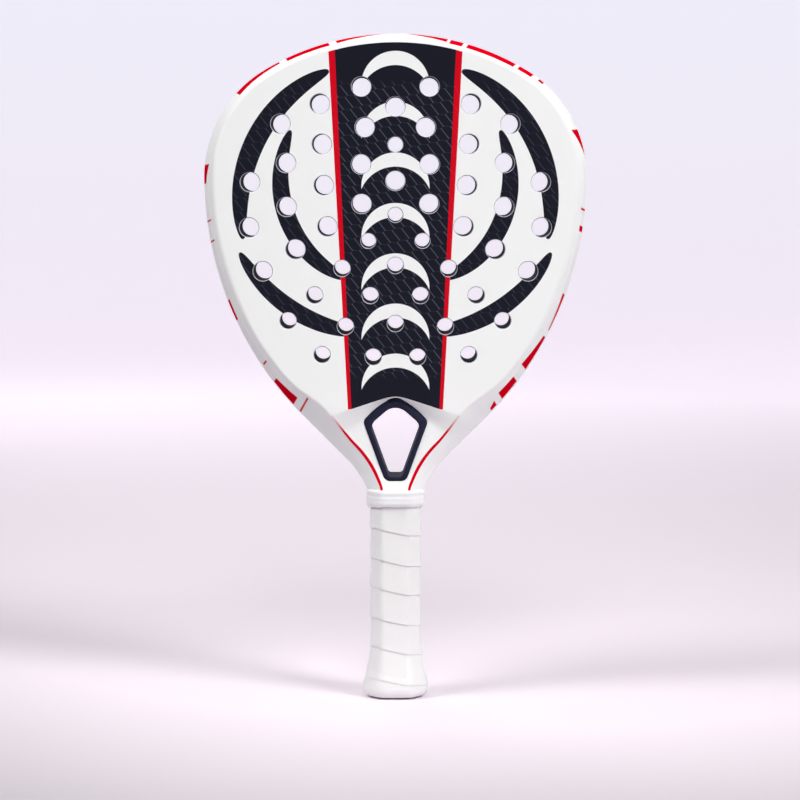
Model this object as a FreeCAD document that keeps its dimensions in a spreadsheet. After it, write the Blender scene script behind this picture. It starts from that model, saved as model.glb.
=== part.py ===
import FreeCAD, Part
import math
import os

import Sketcher
from FreeCAD import Vector

# Padel racket, millimetres. It stands on its butt: +Z runs from the butt to the top of the head,
# the front face looks along -Y, and the origin is the centre of the butt's flat base.

os.makedirs("parts", exist_ok=True)
doc = FreeCAD.newDocument("padel_racket")

# ---------------------------------------------------------------- driving dimensions

sheet = doc.addObject("Spreadsheet::Sheet", "sizes")

SIZES = [
    # the whole racket
    ("racket_length", 455.0), ("head_width", 260.0), ("head_thickness", 38.0),
    # outline of the head: rise from its widest line to its top, shoulder and flank arcs, then the
    # throat's straight slope and the arc into the neck, which ends above the arc's centre
    ("crown_rise", 97.0), ("shoulder_radius", 84.4), ("flank_radius", 232.4),
    ("throat_angle", 45.0), ("neck_radius", 84.0), ("neck_width", 38.6), ("neck_lead", 38.0),
    # the flat outer wall of the rim, and how far the flat face stays inside the outline
    ("rim_wall_width", 16.0), ("face_top_inset", 4.4), ("face_side_inset", 5.5),
    ("face_flank_angle", 35.0), ("heel_spread", 88.0), ("heel_drop", 9.0), ("vee_drop", 12.0),
    # the throat's arms
    ("throat_thickness", 28.0), ("arm_facet", 12.0),
    # what the rim holds
    ("skin_thickness", 1.2), ("rim_width", 15.0), ("tube_wall", 2.0), ("bridge_height", 10.7),
    # the throat's opening and the rubber ring in it, measured from the neck's end upward
    ("kite_lead", 6.0), ("kite_shoulder_rise", 41.7), ("kite_top_rise", 21.1), ("vee_gap", 3.5),
    ("kite_width", 44.8), ("kite_foot_width", 14.4), ("kite_top_radius", 14.4),
    ("kite_shoulder_radius", 4.5), ("kite_foot_radius", 5.0), ("ring_band", 4.8),
    ("ring_thickness", 31.0),
    # holes in the head
    ("hole_large", 13.0), ("hole_medium", 11.0), ("hole_small", 10.0),
    # shaft and handle
    ("shaft_width", 22.0), ("shaft_depth", 18.0), ("shaft_corner", 4.0), ("core_gap", 16.8),
    ("knot_room", 12.0), ("pallet_width", 29.4), ("pallet_depth", 26.0), ("pallet_facet", 6.3),
    ("pallet_gap", 1.0), ("base_grip_thickness", 1.8), ("overgrip_thickness", 0.7),
    ("grip_start", 1.2), ("facet_ratio", 0.5858),
    # butt cap and its flare, as height and how far the side stands out there
    ("cap_floor", 4.0), ("cap_height", 28.0), ("flare_start_out", 1.5),
    ("flare_toe", 2.5), ("flare_toe_out", 3.4),
    ("flare_rim", 6.5), ("flare_rim_out", 5.2), ("flare_waist", 12.0), ("flare_waist_out", 4.3),
    ("flare_neck", 18.0), ("flare_neck_out", 2.3), ("flare_end_out", 0.9), ("flare_end", 40.0),
    ("base_out", 0.4), ("pin_height", 15.0), ("pin_radius", 1.0),
    ("eyelet_bore", 6.0), ("eyelet_wall", 0.8), ("eyelet_flange", 1.6), ("eyelet_lip", 0.8),
    # collar and end tape
    ("collar_height", 13.1), ("collar_bulge", 2.45), ("collar_valley", 1.6), ("collar_lip", 1.3),
    ("tape_thickness", 0.2), ("tape_width", 10.0),
]

# heights worked out from them; the neck's arc touches the throat's slope, which touches the flank
LEVELS = [
    ("widest_height", "sizes.racket_length - sizes.crown_rise"),
    ("flank_end_x", "sizes.head_width / 2 - sizes.flank_radius * (1 - cos(sizes.throat_angle))"),
    ("flank_end_z", "widest_height - sizes.flank_radius * sin(sizes.throat_angle)"),
    ("neck_centre_x", "sizes.neck_width / 2 + sqrt(sizes.neck_radius ^ 2 - sizes.neck_lead ^ 2)"),
    ("neck_centre_z", "flank_end_z - ((flank_end_x - neck_centre_x) * cos(sizes.throat_angle)"
                      " + sizes.neck_radius) / sin(sizes.throat_angle)"),
    ("neck_height", "neck_centre_z + sizes.neck_lead"),
    ("kite_foot", "neck_height + sizes.kite_lead"),
    ("kite_shoulder", "kite_foot + sizes.kite_shoulder_rise"),
    ("kite_top", "kite_shoulder + sizes.kite_top_rise"),
    ("vee_height", "kite_top - sizes.vee_gap"),
    ("heel_height", "vee_height - sizes.heel_drop"),
    ("pocket_floor", "vee_height + sizes.bridge_height"),
    ("pallet_top", "neck_height - sizes.pallet_gap"),
    ("core_top", "neck_height - sizes.core_gap"),
    ("collar_foot", "neck_height - sizes.collar_height"),
]

for row, (name, value) in enumerate(SIZES, start=1):
    sheet.set("A%d" % row, name)
    sheet.set("B%d" % row, str(value))
    sheet.setAlias("B%d" % row, name)

levels = doc.addObject("Spreadsheet::Sheet", "levels")
for row, (name, rule) in enumerate(LEVELS, start=1):
    levels.set("A%d" % row, name)
    levels.set("B%d" % row, "=" + rule)
    levels.setAlias("B%d" % row, name)
doc.recompute()


def size(name):
    """Value of a named size or of a level worked out from the sizes."""
    holder = levels if name in dict(LEVELS) else sheet
    return float(holder.get(name))


# ---------------------------------------------------------------- helpers

def at(x, z, y=0.0):
    return Vector(x, y, z)


def arc_about(centre, radius, start, end):
    """Arc in the XZ plane; angles in degrees from +X towards +Z."""
    def spot(angle):
        turn = math.radians(angle)
        return centre + Vector(radius * math.cos(turn), 0, radius * math.sin(turn))
    return Part.Arc(spot(start), spot((start + end) / 2.0), spot(end)).toShape()


def mirrored(edges):
    """The left half of an outline from its right half, in running order."""
    flip = FreeCAD.Matrix()
    flip.A11 = -1.0
    return [edge.transformGeometry(flip) for edge in reversed(edges)]


def closed_wire(right_half, y):
    """Close a right half whose two ends lie on the middle line with its mirror, at depth y."""
    edges = Part.__sortEdges__(right_half + mirrored(right_half))
    wire = Part.Wire(edges)
    wire.translate(Vector(0, y, 0))
    return wire


def slab(wire, depth):
    """Solid between the wire's own plane and a parallel plane `depth` further along Y."""
    return Part.Face(wire).extrude(Vector(0, depth, 0))


def symmetric_slab(right_half, half_depth):
    return slab(closed_wire(right_half, -half_depth), 2.0 * half_depth)


def ruled(wire_a, wire_b):
    return Part.makeLoft([wire_a, wire_b], True, True)


def rounded(points, radii):
    """Closed polygon in the XZ plane with its corners rounded, as one wire."""
    ends = []
    arcs = []
    for i, corner in enumerate(points):
        before = points[i - 1] - corner
        after = points[(i + 1) % len(points)] - corner
        before.normalize()
        after.normalize()
        half_turn = before.getAngle(after) / 2.0
        reach = radii[i] / math.tan(half_turn)
        bisector = (before + after).normalize()
        middle = corner + bisector * (radii[i] / math.sin(half_turn) - radii[i])
        first = corner + before * reach
        last = corner + after * reach
        arcs.append(Part.Arc(first, middle, last).toShape())
        ends.append((first, last))
    edges = []
    for i, arc in enumerate(arcs):
        edges.append(arc)
        edges.append(Part.LineSegment(ends[i][1], ends[(i + 1) % len(ends)][0]).toShape())
    return Part.Wire(edges)


def keep(name, shape):
    part = doc.addObject("Part::Feature", name)
    part.Label = name
    part.Shape = shape
    return part


# ---------------------------------------------------------------- outline of the racket

def crown(half_width, top, widest, shoulder):
    """Top arc and shoulder arc: level at the top, upright at the widest line, tangent between."""
    rise = top - widest
    reach = half_width - shoulder
    top_radius = (reach ** 2 + rise ** 2 - shoulder ** 2) / (2.0 * (rise - shoulder))
    meeting = math.degrees(math.atan2(widest - (top - top_radius), reach))
    top_arc = arc_about(at(0, top - top_radius), top_radius, 90.0, meeting)
    shoulder_arc = arc_about(at(reach, widest), shoulder, meeting, 0.0)
    return [top_arc, shoulder_arc]


def flank(inset, start, end):
    """Lower side of the head; the inset is taken from its radius, so insets stay parallel."""
    centre = at(size("head_width") / 2.0 - size("flank_radius"), size("widest_height"))
    radius = size("flank_radius") - inset
    return arc_about(centre, radius, start, end)


def neck(inset):
    """From the flank's end down the straight slope and round towards the upright neck."""
    start = flank(inset, 0.0, -size("throat_angle")).Vertexes[-1].Point
    radius = size("neck_radius") + inset
    centre = at(size("neck_centre_x"), size("neck_centre_z"))
    lead = math.degrees(math.asin(size("neck_lead") / radius))
    arc = arc_about(centre, radius, 180.0 - size("throat_angle"), 180.0 - lead)
    return [Part.LineSegment(start, arc.Vertexes[0].Point).toShape(), arc]


def head_outline(inset):
    """Right half of the head at the rim's outer wall, closed under the face by a straight base."""
    half_width = size("head_width") / 2.0 - inset
    shoulder = size("shoulder_radius") - inset
    top = size("racket_length") - inset
    edges = crown(half_width, top, size("widest_height"), shoulder)
    edges.append(flank(inset, 0.0, -size("face_flank_angle")))
    edges.append(flank(inset, -size("face_flank_angle"), -size("throat_angle")))
    heel = edges[-1].Vertexes[-1].Point
    base = at(0, size("vee_height") - size("vee_drop") + inset)
    edges.append(Part.LineSegment(heel, base).toShape())
    return edges


def face_outline(inset=0.0):
    """Right half of the flat striking face, down to its heel and the vee over the throat."""
    half_width = size("head_width") / 2.0 - size("face_side_inset") - inset
    top = size("racket_length") - size("face_top_inset") - inset
    shoulder = size("shoulder_radius") - size("face_side_inset") - inset
    edges = crown(half_width, top, size("widest_height"), shoulder)
    edges.append(flank(size("face_side_inset") + inset, 0.0, -size("face_flank_angle")))
    corner = edges[-1].Vertexes[-1].Point
    heel = at(size("heel_spread") / 2.0 - inset, size("heel_height") + inset)
    apex = at(0, size("vee_height") + inset)
    edges.append(Part.LineSegment(corner, heel).toShape())
    edges.append(Part.LineSegment(heel, apex).toShape())
    return edges


def throat_outline(inset):
    """Right half of the throat and its arms, from inside the head down to the neck's end."""
    first = flank(inset, -size("face_flank_angle"), -size("throat_angle"))
    top_point = first.Vertexes[0].Point
    edges = [Part.LineSegment(at(0, top_point.z), top_point).toShape(), first] + neck(inset)
    end = edges[-1].Vertexes[-1].Point
    edges.append(Part.LineSegment(end, at(0, end.z)).toShape())
    return edges


def pocket_outline(inset=0.0):
    """Right half of the core's pocket in the rim; its floor is the top of the throat bridge."""
    depth = size("rim_width") + inset
    half_width = size("head_width") / 2.0 - depth
    top = size("racket_length") - depth
    edges = crown(half_width, top, size("widest_height"), size("shoulder_radius") - depth)
    floor = size("pocket_floor") + inset
    radius = size("flank_radius") - depth
    angle = math.degrees(math.asin((size("widest_height") - floor) / radius))
    edges.append(flank(depth, 0.0, -angle))
    corner = edges[-1].Vertexes[-1].Point
    edges.append(Part.LineSegment(corner, at(0, corner.z)).toShape())
    return edges


def moulding(inset):
    """Outer form of head and throat, shrunk by `inset` all round."""
    wall = size("rim_wall_width") / 2.0
    face = size("head_thickness") / 2.0 - inset
    ridge = size("throat_thickness") / 2.0 - inset
    pieces = [symmetric_slab(head_outline(inset), wall), symmetric_slab(throat_outline(inset), wall)]
    for side in (-1.0, 1.0):
        outer = closed_wire(head_outline(inset), side * wall)
        inner = closed_wire(face_outline(inset), side * face)
        pieces.append(ruled(outer, inner))
        outer = closed_wire(throat_outline(inset), side * wall)
        inner = closed_wire(throat_outline(inset + size("arm_facet")), side * ridge)
        pieces.append(ruled(outer, inner))
    return pieces[0].multiFuse(pieces[1:]).removeSplitter()


def inward(direction, inset):
    """Step of `inset` to the right of a direction in the XZ plane."""
    return Vector(direction.z, 0, -direction.x).normalize() * inset


def crossing(p, d, q, e):
    """Where the line through p along d meets the line through q along e, in the XZ plane."""
    step = ((q.x - p.x) * e.z - (q.z - p.z) * e.x) / (d.x * e.z - d.z * e.x)
    return p + d * step


def kite(inset):
    """The throat opening's outline, `inset` inside the rubber ring's outer edge."""
    apex = at(0, size("kite_top"))
    shoulder = at(size("kite_width") / 2.0, size("kite_shoulder"))
    foot = at(size("kite_foot_width") / 2.0, size("kite_foot"))
    roof = shoulder - apex
    side = foot - shoulder
    roof_start = apex + inward(roof, inset)
    side_start = shoulder + inward(side, inset)
    apex = crossing(roof_start, roof, at(0, 0), Vector(0, 0, 1))
    shoulder = crossing(roof_start, roof, side_start, side)
    foot = crossing(side_start, side, at(0, foot.z + inset), Vector(1, 0, 0))
    points = [apex, shoulder, foot, at(-foot.x, foot.z), at(-shoulder.x, shoulder.z)]
    names = ["top", "shoulder", "foot", "foot", "shoulder"]
    # corners are rounded a little tighter further in
    radii = [size("kite_%s_radius" % name) - inset / 2.0 for name in names]
    return rounded(points, radii)


def kite_slab(inset, half_depth):
    wire = kite(inset)
    wire.translate(Vector(0, -half_depth, 0))
    return slab(wire, 2.0 * half_depth)


def level_box(width, depth, low, high):
    return Part.makeBox(width, depth, high - low, Vector(-width / 2.0, -depth / 2.0, low))


def shaft(inset, low, high):
    """The frame's lower end inside the handle: a tube with rounded upright corners."""
    width = size("shaft_width") - 2.0 * inset
    depth = size("shaft_depth") - 2.0 * inset
    box = level_box(width, depth, low, high)
    upright = [edge for edge in box.Edges if abs(edge.Vertexes[0].Z - edge.Vertexes[1].Z) > 1.0]
    return box.makeFillet(size("shaft_corner") - inset, upright)


# ---------------------------------------------------------------- frame, foam and bridge

half_thickness = size("head_thickness") / 2.0
core_half = half_thickness - size("skin_thickness")
outer_form = moulding(0.0)
inside_skins = level_box(2.0 * size("head_width"), 2.0 * core_half, 0.0, 2.0 * size("racket_length"))
rim_form = outer_form.common(inside_skins)
pocket = symmetric_slab(pocket_outline(), half_thickness)
opening = kite_slab(0.0, half_thickness)

# the bridge closes the head between the pocket's floor and the opening
bridge_zone = level_box(size("kite_width"), 2.0 * core_half, size("kite_shoulder"),
                        size("pocket_floor"))
bridge_shape = rim_form.common(bridge_zone).cut(opening).cut(pocket)
keep("throat_bridge", bridge_shape)

# hollow of the tube: the moulding shrunk by its wall, clear of the pocket, bridge and opening
wall = size("tube_wall")
hollow = moulding(wall).common(level_box(2.0 * size("head_width"), 2.0 * (core_half - wall), 0.0,
                                         2.0 * size("racket_length")))
hollow = hollow.cut(symmetric_slab(pocket_outline(-wall), half_thickness))
hollow = hollow.cut(kite_slab(-wall, half_thickness))
hollow = hollow.cut(level_box(size("kite_width") + 2.0 * wall, 2.0 * core_half,
                              size("kite_shoulder") - wall, size("pocket_floor") + wall))
neck_floor = size("neck_height") + wall
hollow = hollow.cut(level_box(size("head_width"), 2.0 * core_half, 0.0, neck_floor))
keep("frame_foam", hollow)

shaft_tube = shaft(0.0, size("cap_floor"), size("neck_height"))
shaft_tube = shaft_tube.cut(shaft(wall, 0.0, size("neck_height")))
frame_shape = rim_form.fuse(shaft_tube).cut(pocket).cut(opening).cut(bridge_zone).cut(hollow)
keep("frame_tube", frame_shape.removeSplitter())

# ---------------------------------------------------------------- holes, core and skins

# each row: how far from the middle line, in percent of half the head's width (0 is one hole on
# the line), how far up the pocket, in percent of its height, and which bore
HOLES = [
    (17.7, 90.5, "hole_large"), (0.0, 84.4, "hole_large"), (39.2, 85.2, "hole_large"),
    (15.9, 78.1, "hole_large"), (59.6, 79.1, "hole_large"), (38.2, 72.9, "hole_large"),
    (0.0, 72.8, "hole_small"), (56.8, 67.1, "hole_large"), (17.9, 66.7, "hole_large"),
    (75.5, 61.2, "hole_large"), (37.2, 60.2, "hole_large"), (0.0, 61.6, "hole_large"),
    (56.5, 53.6, "hole_large"), (17.6, 54.5, "hole_large"), (76.1, 47.2, "hole_large"),
    (0.0, 51.1, "hole_small"), (35.4, 47.5, "hole_large"), (52.0, 40.5, "hole_large"),
    (14.1, 43.1, "hole_small"), (69.1, 33.7, "hole_large"), (27.8, 34.6, "hole_medium"),
    (0.0, 35.5, "hole_medium"), (42.1, 26.3, "hole_medium"), (13.1, 26.2, "hole_medium"),
    (56.0, 18.4, "hole_medium"), (26.1, 16.6, "hole_medium"), (0.0, 17.5, "hole_medium"),
    (38.3, 7.8, "hole_medium"), (11.6, 7.1, "hole_medium"),
]

POCKET_HEIGHT = "(sizes.racket_length - sizes.rim_width - levels.pocket_floor)"

drills = []
for across, up, bore in HOLES:
    for side in ([0.0] if across == 0.0 else [-1.0, 1.0]):
        drill = doc.addObject("Part::Cylinder", "drill_%d" % (len(drills) + 1))
        drill.Placement = FreeCAD.Placement(Vector(0, 0, 0), Vector(1, 0, 0), -90)
        drill.setExpression("Radius", "sizes.%s / 2" % bore)
        drill.setExpression("Height", "sizes.head_thickness")
        drill.setExpression("Placement.Base.x", "sizes.head_width / 2 * %s" % (side * across / 100))
        drill.setExpression("Placement.Base.y", "-sizes.head_thickness / 2")
        drill.setExpression("Placement.Base.z",
                            "levels.pocket_floor + %s * %s" % (POCKET_HEIGHT, up / 100))
        drills.append(drill)
hole_drills = doc.addObject("Part::Compound", "hole_drills")
hole_drills.Links = drills


def drilled(name, blank_shape):
    blank = doc.addObject("Part::Feature", name + "_blank")
    blank.Shape = blank_shape
    part = doc.addObject("Part::Cut", name)
    part.Label = name
    part.Base = blank
    part.Tool = hole_drills
    return part


drilled("eva_core", symmetric_slab(pocket_outline(), core_half))
for name, side in (("front_face", -1.0), ("rear_face", 1.0)):
    zone = level_box(2.0 * size("head_width"), size("skin_thickness"), 0.0,
                     2.0 * size("racket_length"))
    zone.translate(Vector(0, side * (core_half + size("skin_thickness") / 2.0), 0))
    drilled(name, outer_form.common(zone))

# ---------------------------------------------------------------- rubber ring in the throat

ring = kite_slab(0.0, size("ring_thickness") / 2.0)
ring = ring.cut(kite_slab(size("ring_band"), size("ring_thickness")))
for name, side in (("front_throat_ring", -1.0), ("rear_throat_ring", 1.0)):
    half_zone = level_box(2.0 * size("kite_width"), size("ring_thickness"), 0.0,
                          size("racket_length"))
    half_zone.translate(Vector(0, side * size("ring_thickness") / 2.0, 0))
    keep(name, ring.common(half_zone))

# ---------------------------------------------------------------- handle: eight-sided sections

def value_of(rule):
    """Number that an expression over the sheet gives."""
    result = hole_drills.evalExpression(rule)
    return float(getattr(result, "Value", result))


def octagon(name, height, out):
    """Section of the grip at a height, `out` further out all round than the pallets' outside."""
    half_x = "(sizes.pallet_width / 2 + %s)" % out
    half_y = "(sizes.pallet_depth / 2 + %s)" % out
    facet = "(sizes.pallet_facet + sizes.facet_ratio * (%s))" % out
    beside = (half_x, "(%s - %s)" % (half_y, facet))
    facing = ("(%s - %s)" % (half_x, facet), half_y)
    corners = []
    for sx, sy in ((1, -1), (1, 1), (-1, 1), (-1, -1)):
        pair = (facing, beside) if sx * sy < 0 else (beside, facing)
        corners += [(sx, sy, rule_x, rule_y) for rule_x, rule_y in pair]
    points = [Vector(sx * value_of(rx), sy * value_of(ry), 0) for sx, sy, rx, ry in corners]
    sketch = doc.addObject("Sketcher::SketchObject", name)
    sketch.setExpression("Placement.Base.z", height)
    for i, point in enumerate(points):
        sketch.addGeometry(Part.LineSegment(point, points[(i + 1) % 8]), False)
    for i in range(8):
        sketch.addConstraint(Sketcher.Constraint("Coincident", i, 2, (i + 1) % 8, 1))
    for i, (sx, sy, rule_x, rule_y) in enumerate(corners):
        for kind, sign, rule in (("DistanceX", sx, rule_x), ("DistanceY", sy, rule_y)):
            ends = (-1, 1, i, 1) if sign > 0 else (i, 1, -1, 1)
            number = sketch.addConstraint(Sketcher.Constraint(kind, *ends, value_of(rule)))
            sketch.setExpression("Constraints[%d]" % number, rule)
    return sketch


def octagon_form(name, levels):
    """Solid through eight-sided sections, each level a height and how far out it stands."""
    form = doc.addObject("Part::Loft", name)
    form.Sections = [octagon("%s_level_%d" % (name, n), height, out)
                     for n, (height, out) in enumerate(levels, start=1)]
    form.Solid = True
    form.Ruled = True
    return form


def combined(kind, name, base, *tools):
    """Chain of Part::Cut or Part::Common; the last one carries the name."""
    for n, tool in enumerate(tools, start=1):
        last = n == len(tools)
        step = doc.addObject(kind, name if last else "%s_step_%d" % (name, n))
        step.Base = base
        step.Tool = tool
        base = step
    base.Label = name
    return base


def level_block(name, low, high, near, far):
    """Box across the whole handle between two heights and two depths along Y."""
    block = doc.addObject("Part::Box", name)
    block.setExpression("Length", "sizes.head_width")
    block.setExpression("Width", "%s - (%s)" % (far, near))
    block.setExpression("Height", "%s - (%s)" % (high, low))
    block.setExpression("Placement.Base.x", "-sizes.head_width / 2")
    block.setExpression("Placement.Base.y", near)
    block.setExpression("Placement.Base.z", low)
    return block


def upright_cylinder(name, radius, low, high):
    cylinder = doc.addObject("Part::Cylinder", name)
    cylinder.setExpression("Radius", radius)
    cylinder.setExpression("Height", "%s - (%s)" % (high, low))
    cylinder.setExpression("Placement.Base.z", low)
    return cylinder


# the flare of the butt, as heights and how far each stands out from the straight grip
FLARE = [("sizes.grip_start", "sizes.flare_start_out"), ("sizes.flare_toe", "sizes.flare_toe_out"),
         ("sizes.flare_rim", "sizes.flare_rim_out"), ("sizes.flare_waist", "sizes.flare_waist_out"),
         ("sizes.flare_neck", "sizes.flare_neck_out"), ("sizes.cap_height", "sizes.flare_end_out")]
STRAIGHT = [("sizes.flare_end", "0"), ("levels.pallet_top", "0")]
BASE_GRIP = "sizes.base_grip_thickness"
BOTH_GRIPS = BASE_GRIP + " + sizes.overgrip_thickness"

cap_form = octagon_form("cap_form", [("0", "sizes.base_out")] + FLARE)
pallet_form = octagon_form("pallet_form", [("sizes.cap_floor", "0"), ("levels.pallet_top", "0")])
base_grip_form = octagon_form("base_grip_form",
                              [(z, "%s + %s" % (out, BASE_GRIP)) for z, out in FLARE + STRAIGHT])
overgrip_form = octagon_form("overgrip_form",
                             [(z, "%s + %s" % (out, BOTH_GRIPS)) for z, out in FLARE + STRAIGHT])

# ---------------------------------------------------------------- shaft's foam and the pallets

keep("handle_core", shaft(wall, size("cap_floor") + size("knot_room"), size("core_top")))

shaft_space = doc.addObject("Part::Feature", "shaft_space")
shaft_space.Shape = shaft(0.0, size("cap_floor"), size("neck_height"))

# pins along X through cap and pallets at their seam, trimmed flush with the cap
pins = []
for name, turn in (("left_pin", -90.0), ("right_pin", 90.0)):
    pin = doc.addObject("Part::Cylinder", name)
    pin.setExpression("Radius", "sizes.pin_radius")
    pin.setExpression("Height", "sizes.pallet_width")
    pin.Placement = FreeCAD.Placement(Vector(0, 0, 0), Vector(0, 1, 0), turn)
    side = "-" if turn < 0 else ""
    pin.setExpression("Placement.Base.x", "%ssizes.shaft_width / 2" % side)
    pin.setExpression("Placement.Base.z", "sizes.pin_height")
    pins.append(pin)
pin_pair = doc.addObject("Part::Compound", "pin_pair")
pin_pair.Links = pins
cap_pins = combined("Part::Common", "cap_pins", pin_pair, cap_form)

for name, near, far in (("front_pallet", "-sizes.head_width", "0"),
                        ("rear_pallet", "0", "sizes.head_width")):
    half = level_block(name + "_half", "0", "levels.neck_height", near, far)
    whole = combined("Part::Common", name + "_outside", pallet_form, half)
    combined("Part::Cut", name, whole, shaft_space, cap_pins)

# ---------------------------------------------------------------- butt cap and cord eyelet

eyelet_outer = "sizes.eyelet_bore / 2 + sizes.eyelet_wall"
flange = upright_cylinder("eyelet_flange_disc", eyelet_outer + " + sizes.eyelet_flange", "0",
                          "sizes.eyelet_lip")
barrel = upright_cylinder("eyelet_barrel", eyelet_outer, "0", "sizes.cap_floor")
bore = upright_cylinder("eyelet_bore_drill", "sizes.eyelet_bore / 2", "0", "sizes.cap_floor")
eyelet_form = doc.addObject("Part::MultiFuse", "eyelet_form")
eyelet_form.Shapes = [flange, barrel]
combined("Part::Cut", "cord_eyelet", eyelet_form, bore)
combined("Part::Cut", "butt_cap", cap_form, pallet_form, eyelet_form, cap_pins)

# ---------------------------------------------------------------- grips, end tape and collar

combined("Part::Cut", "base_grip", base_grip_form, cap_form, pallet_form)
combined("Part::Cut", "overgrip", overgrip_form, base_grip_form)

TAPED = BOTH_GRIPS + " + sizes.tape_thickness"
tape_top = "levels.pallet_top"
tape_foot = "levels.pallet_top - sizes.tape_width"
tape_form = octagon_form("tape_form", [(tape_foot, TAPED), (tape_top, TAPED)])
combined("Part::Cut", "finishing_tape", tape_form, overgrip_form)

# two round bulges with a valley between; levels as shares of the collar's height
collar_levels = [("levels.collar_foot + sizes.collar_height * %s" % share, "sizes.collar_" + wall_name)
                 for share, wall_name in ((0, "lip"), (0.11, "bulge"), (0.39, "bulge"),
                                          (0.5, "valley"), (0.61, "bulge"), (0.89, "bulge"),
                                          (1, "lip"))]
collar_form = octagon_form("collar_form", [(z, "%s + %s" % (out, TAPED)) for z, out in collar_levels])
collar_space = octagon_form("collar_space", [("levels.collar_foot", TAPED), ("levels.neck_height", TAPED)])
combined("Part::Cut", "grip_collar", collar_form, collar_space)

# ---------------------------------------------------------------- check and write

NODES = ["frame_tube", "frame_foam", "throat_bridge", "eva_core", "front_face", "rear_face",
         "front_throat_ring", "rear_throat_ring", "handle_core", "front_pallet", "rear_pallet",
         "butt_cap", "cap_pins", "cord_eyelet", "base_grip", "overgrip", "finishing_tape",
         "grip_collar"]

doc.recompute()
for item in doc.Objects:
    if "Invalid" in item.State or "Error" in item.State:
        raise RuntimeError("failed: %s %s" % (item.Name, item.State))

for node in NODES:
    shape = doc.getObject(node).Shape
    if shape.isNull() or not shape.isValid():
        raise RuntimeError("bad shape: " + node)
    print("%-18s solids %d volume %.0f" % (node, len(shape.Solids), shape.Volume))

for node in NODES:
    doc.getObject(node).Shape.exportStep("parts/%s.step" % node)
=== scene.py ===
import math

import bmesh
import bpy
from mathutils import Matrix, Vector


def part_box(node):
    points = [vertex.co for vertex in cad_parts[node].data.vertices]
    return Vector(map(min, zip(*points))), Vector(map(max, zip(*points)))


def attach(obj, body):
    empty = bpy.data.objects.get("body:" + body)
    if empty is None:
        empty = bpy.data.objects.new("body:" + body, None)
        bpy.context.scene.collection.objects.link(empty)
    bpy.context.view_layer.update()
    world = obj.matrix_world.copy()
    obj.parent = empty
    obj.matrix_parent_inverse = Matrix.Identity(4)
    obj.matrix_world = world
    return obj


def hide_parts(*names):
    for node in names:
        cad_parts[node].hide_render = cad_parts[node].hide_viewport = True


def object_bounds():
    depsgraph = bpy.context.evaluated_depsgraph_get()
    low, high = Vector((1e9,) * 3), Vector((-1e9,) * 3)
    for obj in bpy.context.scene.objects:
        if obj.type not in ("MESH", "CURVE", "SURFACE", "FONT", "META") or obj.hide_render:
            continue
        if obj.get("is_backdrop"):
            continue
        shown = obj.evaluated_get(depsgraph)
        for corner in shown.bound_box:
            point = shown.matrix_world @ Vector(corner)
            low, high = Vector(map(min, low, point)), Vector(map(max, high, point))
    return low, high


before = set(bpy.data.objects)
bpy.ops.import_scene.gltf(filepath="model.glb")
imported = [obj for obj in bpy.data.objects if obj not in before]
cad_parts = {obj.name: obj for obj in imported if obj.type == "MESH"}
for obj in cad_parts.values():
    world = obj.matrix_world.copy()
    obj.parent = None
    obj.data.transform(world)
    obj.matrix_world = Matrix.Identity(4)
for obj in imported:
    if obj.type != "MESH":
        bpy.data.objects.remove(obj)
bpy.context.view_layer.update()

# ------------------------------------------------------------------ camera
# A long lens in front of the racket, about level with the middle of the head and tipped
# slightly down, so the racket stands upright in the picture and its holes show their lower walls.

camera = bpy.data.objects.new("camera", bpy.data.cameras.new("camera"))
bpy.context.scene.collection.objects.link(camera)
camera.data.lens = 119.5
camera.location = (0.0031, -1.817, 0.3767)
camera.rotation_euler = (math.radians(90 - 5.38), 0, 0)
bpy.context.scene.camera = camera


# ------------------------------------------------------------------ studio
# A round cove of pale card: a flat floor that sweeps up into a wall all round, pinkish underfoot
# and lavender above. Soft lamps stand at the right, at the left, over the camera and behind; the
# card behind the racket glows, and the card on the camera's side is painted darker, a painted
# shade round a pale pool about the racket, so that little light comes back up from it.

def linear(red, green, blue):
    """Colour for a socket, from the 0-255 values it is known by."""
    return tuple((c / 255 / 12.92) if c <= 10 else ((c / 255 + 0.055) / 1.055) ** 2.4
                 for c in (red, green, blue)) + (1.0,)


class Value:
    """A number inside a material. Arithmetic on it adds the Math nodes that work it out."""

    def __init__(self, finish, socket):
        self.finish, self.socket = finish, socket

    def sum(self, operation, *terms, clamp=False):
        return self.finish.node("Math", {"operation": operation, "use_clamp": clamp},
                                dict(enumerate(terms)))

    def __add__(self, other):
        return self.sum("ADD", self, other)

    def __sub__(self, other):
        return self.sum("SUBTRACT", self, other)

    def __rsub__(self, other):
        return self.sum("SUBTRACT", other, self)

    def __mul__(self, other):
        return self.sum("MULTIPLY", self, other)

    def __truediv__(self, other):
        return self.sum("DIVIDE", self, other)

    def __rtruediv__(self, other):
        return self.sum("DIVIDE", other, self)

    def __pow__(self, other):
        return self.sum("POWER", self, other)

    def __neg__(self):
        return self.sum("MULTIPLY", self, -1.0)

    def __abs__(self):
        return self.sum("ABSOLUTE", self)

    __radd__ = __add__
    __rmul__ = __mul__

    def below(self, edge, soft=0.00025):
        """1 where the value is under the edge and 0 where it is over, soft in between."""
        return self.sum("MULTIPLY_ADD", edge - self, 1.0 / soft, 0.5, clamp=True)

    def above(self, edge, soft=0.00025):
        return self.sum("MULTIPLY_ADD", self - edge, 1.0 / soft, 0.5, clamp=True)

    def within(self, low, high, soft=0.00025):
        return self.above(low, soft) * self.below(high, soft)

    def least(self, other):
        return self.sum("MINIMUM", self, other)

    def most(self, other):
        return self.sum("MAXIMUM", self, other)


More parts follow.
